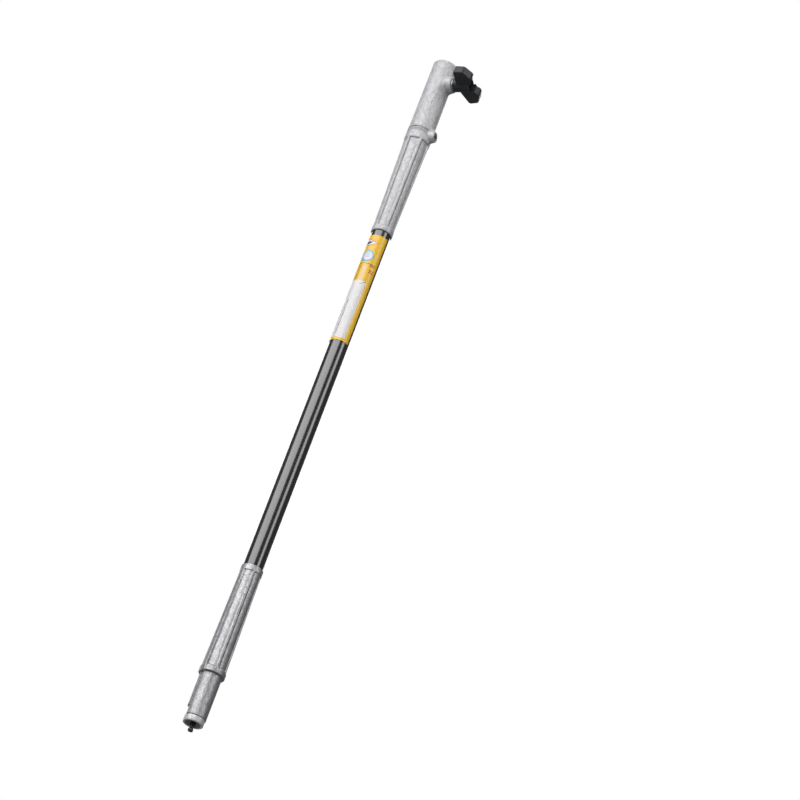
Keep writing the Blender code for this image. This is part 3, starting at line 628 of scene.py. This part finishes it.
def upper_shape(theta, r, z):
    """Ribbed sleeve scooped out under its collar, with the clamp boss, a screw boss and its web."""
    result = ribbed(theta, r, z, 708.5, 864.0, (15.3, 18.5))
    scoop = 0.9 * np.exp(-((z - 857.0) / 3.6) ** 2)
    half_step = RIB_SPACING / 2
    step = np.abs((np.degrees(theta) - RIB_FIRST + half_step) % RIB_SPACING - half_step)
    result = result - scoop * np.clip((step - 9.0) / 6.0, 0, 1) * (z < 861.0)
    clamp = boss(theta, z, CLAMP_Z, 0.0, 4.0, 16.0, CLAMP_FACE_X, CLAMP_FACE_R)
    web = boss(theta, z, WEB_Z, UPPER_SCREW["angle"], TUBE_R, 10.0, 21.6, 4.5)
    result = rounded_max(rounded_max(result, clamp, 3.2), web, 1.6)
    return rounded_max(result, screw_boss(theta, z, UPPER_SCREW, 10.6, 7.4), 1.4)


def make_upper_casting():
    outside = [(15.9, 1000.0), (17.3, 1000.0), (17.9, 999.0), (18.2, 881.6), (18.62, 881.0),
               (18.65, 880.2), (17.3, 879.6), (17.3, 878.4), (18.6, 877.9), (18.6, 876.9),
               (17.8, 876.5), (17.8, 875.7), (18.6, 875.2), (18.6, 874.3), (18.0, 873.9),
               (18.0, 873.3), (18.7, 872.9), (18.7, 862.6), (18.3, 861.3), (17.1, 860.0),
               (14.75, 710.9), (15.45, 710.0), (15.45, 702.0), (15.1, 701.2), (14.3, 700.6)]
    inside = [(TUBE_R + GAP, 700.6), (TUBE_R + GAP, TUBE_Z[1] + GAP), (8.6, TUBE_Z[1] + GAP),
              (8.6, 892.7), (9.6, 892.7), (9.6, 899.3), (10.2, 899.3), (10.2, 900.7), (9.6, 900.7),
              (9.6, 927.0), (14.7, 927.0), (14.7, 999.3), (15.4, 1000.0)]
    spacing = spacing_from(((700, 712, 0.6), (712, 850, 2.0), (850, 864, 0.8), (864, 872, 0.9),
                            (872, 882, 0.3), (882, 892, 0.9), (950, 985, 0.75), (996, 1001, 0.6)), 1.7)
    body = casting("upper_casting_skin", "upper_cast", outside, inside, spacing, upper_shape)
    frame_out = radial(UPPER_SCREW["z"], UPPER_SCREW["angle"])
    tools = [prism("hole", 3.0, 5.0, 19.0, 32, frame_out),
             prism("counterbore", 5.5, 18.2, 29.6, 48, frame_out),
             prism("insert_hole", 6.3, 5.0, 29.3, 64, radial(CLAMP_Z))]
    boolean(body, tools, sharp=CAST_SHARP)
    stand_for(body, "pole", "cast_aluminium", "upper_casting")


def make_end_ring():
    ring = lathe("spigot_end_ring_skin", [
        (11.0, -57.7), (11.0, -61.55), (13.5, -61.55), (13.5, -69.1), (13.2, -69.7), (12.6, -70.0),
        (11.2, -70.0), (10.9, -69.6), (9.6, -57.7)], "machined_ring", 160, 0.3)
    stand_for(ring, "pole", "machined_ring", "spigot_end_ring")


# ---------------------------------------------------------------- tube and label

def make_tube():
    low, high = TUBE_Z
    profile = [(TUBE_R, high), (TUBE_R, low), (TUBE_BORE_R, low), (TUBE_BORE_R, high)]
    rounded = soften([profile[-1]] + profile + [profile[0]], 0.3)[1:-1]
    tube = lathe("outer_tube_skin", divided(rounded, lambda z: 40.0), "black_tube", 144)
    stand_for(tube, "pole", "black_tube", "outer_tube")


def make_label():
    """Thin printed sheet round the tube; its map holds millimetres along and across the print."""
    low, high = LABEL_Z
    bm = bmesh.new()
    bmesh.ops.create_grid(bm, x_segments=134, y_segments=58, size=0.5)
    layer = bm.loops.layers.uv.new("print")
    for face in bm.faces:
        for loop in face.loops:
            across, along = loop.vert.co.x + 0.5, loop.vert.co.y + 0.5
            loop[layer].uv = (across * radians(LABEL_SWEEP) * LABEL_R, along * (high - low))
    for vert in bm.verts:
        angle = radians(LABEL_START + (vert.co.x + 0.5) * LABEL_SWEEP)
        height = low + (vert.co.y + 0.5) * (high - low)
        wrinkle = 0.035 * noise.noise(Vector((angle * 6.0, height / 9.0, 2.0)))
        radius = LABEL_R + 0.02 + max(0.0, wrinkle)
        vert.co = Vector((radius * cos(angle), radius * sin(angle), height)) * MM
    mesh = bpy.data.meshes.new("tube_label_skin")
    bm.to_mesh(mesh)
    bm.free()
    label = new_object("tube_label_skin", mesh, ["printed_label"])
    thick = label.modifiers.new("Thickness", 'SOLIDIFY')
    thick.thickness = (LABEL_THICKNESS - 0.06) * MM
    thick.offset = 1.0
    settle(label, 50.0)
    stand_for(label, "pole", "printed_label", "tube_label")


# ---------------------------------------------------------------- drive train

def make_shaft():
    """Round shaft with retaining-ring grooves and a splined lower end."""
    low, high = SHAFT_Z
    columns = 144
    full, half_groove = SHAFT_R, 0.7
    profile = [(0.0, high), (full - 0.4, high), (full, high - 0.4)]
    for centre in SHAFT_RING_Z:
        profile += [(full, centre + half_groove), (SHAFT_RING_R, centre + half_groove),
                    (SHAFT_RING_R, centre - half_groove), (full, centre - half_groove)]
    neck_and_tip = ((full, 6.8), (3.2, 6.3), (2.5, 5.9), (2.4, 5.6), (2.4, 4.5), (2.5, 4.2), (3.2, 3.8),
                    (full, 3.2), (full, 1.3), (3.35, 0.6), (3.0, 0.15), (2.6, 0.0), (1.3, 0.0),
                    (0.9, 0.5), (0.0, 1.2))
    profile += [(r, low + height) for r, height in neck_and_tip]
    outline = np.array(divided(profile, lambda z: 1.0 if z < -44.0 else 60.0))
    theta = np.radians(np.arange(columns) * 360.0 / columns)
    r = np.repeat(outline[:, :1], columns, 1)
    z = np.repeat(outline[:, 1:], columns, 1)
    pitch, depth, half_width = 45.0, 0.42, 0.55
    spline_top, run_out, neck_r = -54.0, 3.0, 2.6
    turn = (np.degrees(theta) + pitch / 2) % pitch - pitch / 2
    groove = depth * np.clip(1.25 - np.abs(full * np.radians(turn)) / half_width, 0, 1)
    r = r - groove * np.clip((spline_top - z) / run_out, 0, 1) * (r > neck_r)
    rings = np.stack([r * np.cos(theta), r * np.sin(theta), z], -1)
    shaft = skin("drive_shaft_skin", rings, ["drive_steel"], False, sharp=30.0)
    stand_for(shaft, "drive", "drive_steel", "drive_shaft")


def make_sleeve():
    sleeve = lathe("coupling_sleeve_skin", [(0.0, 945.0), (5.7, 945.0), (6.5, 944.2), (6.5, 902.0),
                                            (5.0, 901.5), (5.0, 899.4), (0.0, 899.4)],
                   "drive_steel", 96, 0.25)
    toothed = prism("toothed", 3.8, 915.3, 948.0, 64)
    for vert in toothed.data.vertices:
        tooth_step = (vert.index // 2) % 8
        vert.co.xy *= 1.0 if tooth_step < 4 else 0.88
    boolean(sleeve, [prism("bore", 3.8, 896.4, 916.3, 64), toothed,
                     prism("pin_hole", 1.55, -9.0, 9.0, 32, radial(909.5))])
    stand_for(sleeve, "drive", "drive_steel", "coupling_sleeve")


# ---------------------------------------------------------------- clamp and screws

def make_knob():
    """Moulded wing knob: rounded wings on a hub, with a recess over the screw's head."""
    place = radial(CLAMP_Z, roll=KNOB_TURN)
    outline = KNOB_WING + [(-rho, h) for rho, h in reversed(KNOB_WING) if rho > 0.0]
    bm = bmesh.new()
    flat = bm.faces.new([bm.verts.new((rho * MM, 0.0, (KNOB_BASE_X + h) * MM)) for rho, h in outline])
    moved = bmesh.ops.extrude_face_region(bm, geom=[flat])["geom"]
    upper = {item for item in moved if isinstance(item, bmesh.types.BMVert)}
    for vert in bm.verts:
        width = KNOB_WIDTH - KNOB_TAPER * abs(vert.co.x) / (KNOB_REACH * MM)
        vert.co.y = (width if vert in upper else -width) / 2 * MM
    bmesh.ops.recalc_face_normals(bm, faces=bm.faces)
    mesh = bpy.data.meshes.new("wing_knob_skin")
    bm.to_mesh(mesh)
    bm.free()
    knob = new_object("wing_knob_skin", mesh, ["black_plastic"])
    base = KNOB_BASE_X
    hub = prism("hub", KNOB_HUB_R, base + KNOB_FOOT_H, base + KNOB_HUB_TOP_H, 96)
    boolean(knob, [hub], 'UNION')
    voxels = knob.modifiers.new("Even", 'REMESH')
    voxels.mode = 'VOXEL'
    voxels.voxel_size = 0.42 * MM
    smooth = knob.modifiers.new("Round", 'SMOOTH')
    smooth.factor = 0.5
    smooth.iterations = 7
    settle(knob, 60.0)
    pocket_low = base + KNOB_HEAD_H - 0.3
    tools = [prism("bore", SCREW_BORE_R, base - 3.0, pocket_low + 1.0, 48),
             prism("pocket", 7.9, pocket_low, base + KNOB_RECESS_H + 1.0, 6),
             prism("recess", 8.2, base + KNOB_RECESS_H, base + 45.0, 64, top_radius=9.2)]
    boolean(knob, tools, sharp=45.0)
    knob.data.transform(place)
    if not knob.data.materials:
        knob.data.materials.append(MATERIALS["black_plastic"])
    stand_for(knob, "knob", "black_plastic", "wing_knob")


def make_clamp_metal():
    place = radial(CLAMP_Z, roll=KNOB_TURN)
    base = KNOB_BASE_X + KNOB_HEAD_H
    screw = lathe("knob_screw_skin", [(0.0, base + 1.0), (SCREW_R, base + 1.0),
                                      (SCREW_R, SCREW_END_X + 0.5), (SCREW_R - 0.5, SCREW_END_X),
                                      (0.0, SCREW_END_X)], "zinc_steel", 64, 0.15)
    head = prism("head", 7.5, base, base + 5.3, 6)
    edge = head.modifiers.new("Edge", 'BEVEL')
    edge.width = 0.5 * MM
    edge.segments = 3
    settle(head)
    boolean(screw, [head], 'UNION')
    washer = lathe("knob_washer_skin", [(9.4, 26.2), (9.4, 24.6), (SCREW_BORE_R, 24.6),
                                        (SCREW_BORE_R, 26.2)], "zinc_steel", 128, 0.2)
    insert = lathe("threaded_insert_skin", [(6.0, 24.0), (6.0, 19.6), (SCREW_BORE_R, 19.6),
                                            (SCREW_BORE_R, 24.0)], "brass", 96, 0.3)
    pad = lathe("clamp_pad_skin", [(0.0, 16.7), (5.9, 16.7), (5.9, 13.9), (0.0, 13.9)],
                "bearing_steel", 96, 0.4)
    for piece, body, slot, node in ((screw, "knob", "zinc_steel", "knob_screw"),
                                    (washer, "knob", "zinc_steel", "knob_washer"),
                                    (insert, "pole", "brass", "threaded_insert"),
                                    (pad, "clamp", "bearing_steel", "clamp_pad")):
        piece.data.transform(place)
        stand_for(piece, body, slot, node)


def make_fixing_screw(node, screw_at, head_r, head_height, shank_r, socket_r):
    """Screw with a round head and a hexagonal socket, its head just below the boss's face."""
    top = screw_at["face"] - 0.3
    seat = top - head_height
    tip = TUBE_BORE_R - 0.5
    screw = lathe(node + "_skin", [(0.0, top), (head_r, top), (head_r, seat), (shank_r, seat),
                                   (shank_r, tip + 0.5), (shank_r - 0.5, tip), (0.0, tip)],
                  "zinc_steel", 96, 0.45)
    socket = prism("socket", socket_r, top - 0.6 * head_height, top + 3.0, 6)
    boolean(screw, [socket])
    screw.data.transform(radial(screw_at["z"], screw_at["angle"]))
    stand_for(screw, "pole", "zinc_steel", node)


CARRIED = {
    "bearing_steel": ("lower_bearing_outer_race", "upper_bearing_outer_race", "lower_bearing_inner_race",
                      "upper_bearing_inner_race", "lower_bearing_ball_cage", "upper_bearing_ball_cage",
                      "coupling_pin"),
    "drive_steel": ("lower_housing_ring", "upper_housing_ring", "lower_shaft_ring", "upper_shaft_ring"),
    "seal_rubber": ("lower_shaft_seal",),
    "white_plastic": ("shaft_bush_1", "shaft_bush_2", "shaft_bush_3", "shaft_bush_4"),
}


def dress_carried_nodes():
    for material, names in CARRIED.items():
        for name in names:
            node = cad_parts[name]
            for slot in node.material_slots:
                slot.material = MATERIALS[material]


# ---------------------------------------------------------------- camera, light, floor

def make_camera():
    azimuth, elevation, roll = radians(VIEW_AZIMUTH), radians(VIEW_ELEVATION), radians(VIEW_ROLL)
    back = Vector((sin(azimuth) * cos(elevation), -cos(azimuth) * cos(elevation), sin(elevation)))
    level = Vector((cos(azimuth), sin(azimuth), 0.0))
    upright = back.cross(level)
    right = level * cos(roll) + upright * sin(roll)
    up = upright * cos(roll) - level * sin(roll)
    aim = Vector((0.0, 0.0, VIEW_AIM_Z)) + right * VIEW_SHIFT_RIGHT + up * VIEW_SHIFT_UP
    data = bpy.data.cameras.new("camera")
    data.sensor_width = 36.0
    data.lens = VIEW_LENS
    camera = bpy.data.objects.new("camera", data)
    matrix = Matrix((right, up, back)).transposed().to_4x4()
    matrix.translation = aim + back * VIEW_DISTANCE
    camera.matrix_world = matrix
    SCENE.collection.objects.link(camera)
    SCENE.camera = camera


def softbox(name, azimuth, elevation, distance, width, height, radiance):
    """Area light aimed at the pole's middle from a direction, its strength given as radiance."""
    data = bpy.data.lights.new(name, 'AREA')
    data.shape = 'RECTANGLE'
    data.size, data.size_y = width, height
    data.energy = radiance * pi * width * height
    light = bpy.data.objects.new(name, data)
    turn, lift = radians(azimuth), radians(elevation)
    out = Vector((cos(turn) * cos(lift), sin(turn) * cos(lift), sin(lift)))
    light.location = Vector((0.0, 0.0, LIGHT_AIM_Z)) + out * distance
    light.rotation_euler = out.to_track_quat('Z', 'Y').to_euler()
    SCENE.collection.objects.link(light)


def make_lights():
    """Four softboxes, and a world that is white to the camera and dim to the pole."""
    softbox("left_box", -97.0, 29.0, 2.2, 3.0, 2.0, 3.6)
    softbox("right_box", -8.5, 29.0, 2.2, 0.85, 2.0, 3.6)
    softbox("back_box", 125.0, 42.0, 2.5, 2.8, 2.0, 2.2)
    softbox("low_box", 172.0, -14.0, 2.5, 0.9, 2.4, 2.6)
    world = bpy.data.worlds.new("studio")
    SCENE.world = world
    world.use_nodes = True
    nodes, links = world.node_tree.nodes, world.node_tree.links
    seen, path = nodes["Background"], nodes.new("ShaderNodeLightPath")
    fill, mix = nodes.new("ShaderNodeBackground"), nodes.new("ShaderNodeMixShader")
    seen.inputs["Color"].default_value = (1.0, 1.0, 1.0, 1.0)
    fill.inputs["Color"].default_value = (0.13, 0.13, 0.135, 1.0)
    links.new(path.outputs["Is Camera Ray"], mix.inputs[0])
    links.new(fill.outputs[0], mix.inputs[1])
    links.new(seen.outputs[0], mix.inputs[2])
    links.new(mix.outputs[0], nodes["World Output"].inputs["Surface"])
    SCENE.view_settings.view_transform = 'Standard'


def make_floor():
    """Pale floor that glows a little, to the camera only, so that it is pale from every side."""
    bm = bmesh.new()
    bmesh.ops.create_grid(bm, x_segments=1, y_segments=1, size=FLOOR_HALF_SIZE)
    mesh = bpy.data.meshes.new("floor")
    bm.to_mesh(mesh)
    bm.free()
    g = Graph("pale_floor")
    tone = g.mix(g.noise(400.0, None, 2.0), (0.84, 0.84, 0.84), (0.88, 0.88, 0.88))
    glow = g.nodes.new("ShaderNodeLightPath").outputs["Is Camera Ray"]
    glow = g.math('MULTIPLY', glow, 0.60)
    mesh.materials.append(g.set(Base_Color=tone, Roughness=0.7, Emission_Color=tone,
                                Emission_Strength=glow))
    floor = bpy.data.objects.new("floor", mesh)
    floor.location.z = FLOOR_Z
    SCENE.collection.objects.link(floor)


make_camera()
make_lights()
make_floor()
make_lower_casting()
make_upper_casting()
make_end_ring()
make_tube()
make_label()
make_shaft()
make_sleeve()
make_knob()
make_clamp_metal()
make_fixing_screw("upper_fixing_screw", UPPER_SCREW, 5.2, 5.8, 2.7, 2.9)
make_fixing_screw("lower_fixing_screw", LOWER_SCREW, 4.2, 3.0, 2.2, 2.3)
dress_carried_nodes()
